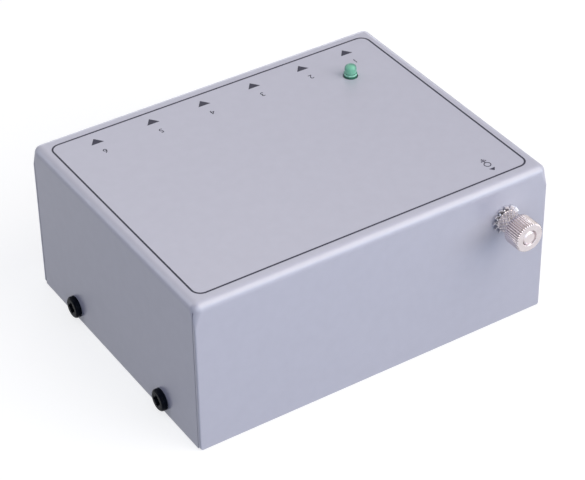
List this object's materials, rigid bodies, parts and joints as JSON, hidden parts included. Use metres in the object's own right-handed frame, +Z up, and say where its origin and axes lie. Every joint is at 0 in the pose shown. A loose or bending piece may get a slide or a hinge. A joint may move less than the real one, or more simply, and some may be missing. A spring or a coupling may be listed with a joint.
{
  "type": "phono preamp",
  "caption": "Small phono preamp in a folded steel case: phono, jack and power sockets in a row, a power lamp on top and a knurled ground terminal.",
  "frame": {"origin": "middle of the case's underside, at the height of the surface it stands on", "axes": "+Z up; +X along the case's longer side; -Y out of the socket side; +Y out of the side with the ground terminal"},
  "size_m": [0.1132, 0.1062, 0.0509],
  "materials": {
    "case_paint": "fine satin powder coat, light grey",
    "black_screw_steel": "black zinc plating",
    "zinc_steel": "bright zinc or tin plating",
    "nickel_plate": "bright nickel plating on brass",
    "tinned_bronze": "tinned phosphor bronze",
    "black_plastic": "moulded, slightly grained",
    "red_plastic": "moulded",
    "white_plastic": "moulded",
    "green_lens": "tinted clear epoxy",
    "wire_insulation": "soft PVC",
    "board_laminate": "solder mask over glass laminate",
    "resistor_lacquer": "lacquer",
    "chip_plastic": "moulded epoxy",
    "capacitor_sleeve": "shrink sleeve on an aluminium can",
    "film_red": "dipped epoxy"
  },
  "bodies": {
    "case": {"block_screws": "black_screw_steel", "board_screws": "zinc_steel", "board_standoffs": "nickel_plate", "bottom_plate": "case_paint", "case_screws": "black_screw_steel", "circuit_board": "board_laminate", "coupling_capacitor_1": "capacitor_sleeve", "coupling_capacitor_2": "capacitor_sleeve", "coupling_capacitor_3": "capacitor_sleeve", "coupling_capacitor_4": "capacitor_sleeve", "dc_pin_contact": "nickel_plate", "dc_sleeve_spring": "tinned_bronze", "dc_socket_body": "black_plastic", "film_capacitor_1": "film_red", "film_capacitor_2": "film_red", "film_capacitor_3": "film_red", "film_capacitor_4": "film_red", "ground_lug": "tinned_bronze", "ground_stud": "nickel_plate", "ground_wire": "wire_insulation", "input_left_contact": "nickel_plate", "input_left_insulator": "white_plastic", "input_left_shell": "nickel_plate", "input_right_contact": "nickel_plate", "input_right_insulator": "red_plastic", "input_right_shell": "nickel_plate", "input_socket_block": "black_plastic", "jack_body": "black_plastic", "jack_bushing": "nickel_plate", "jack_nut": "nickel_plate", "jack_ring_spring": "tinned_bronze", "jack_tip_spring": "tinned_bronze", "jack_washer": "nickel_plate", "lamp_leads": "zinc_steel", "lamp_spacer": "black_plastic", "op_amp_1": "chip_plastic", "op_amp_2": "chip_plastic", "output_left_contact": "nickel_plate", "output_left_insulator": "white_plastic", "output_left_shell": "nickel_plate", "output_right_contact": "nickel_plate", "output_right_insulator": "red_plastic", "output_right_shell": "nickel_plate", "output_socket_block": "black_plastic", "plate_screws": "black_screw_steel", "power_lamp": "green_lens", "regulator": "chip_plastic", "resistors": "resistor_lacquer", "supply_capacitor_1": "capacitor_sleeve", "supply_capacitor_2": "capacitor_sleeve", "supply_diode": "chip_plastic", "top_cover": "case_paint"},
    "washer": {"star_washer": "zinc_steel"},
    "nut": {"knurled_nut": "nickel_plate"}
  },
  "joints": [
    {"name": "nut_travel", "type": "slide", "parent": "case", "child": "washer", "axis": [0, 1, 0], "range_m": [0, 0.0084]},
    {"name": "nut_turn", "type": "hinge", "parent": "washer", "child": "nut", "pos_m": [-0.041, 0.049, 0.0354], "axis": [0, 1, 0], "range_deg": [0, 4320]}
  ],
  "couplings": [
    {"joint": "nut_turn", "follows": "nut_travel", "rad_per_m": 8976}
  ]
}
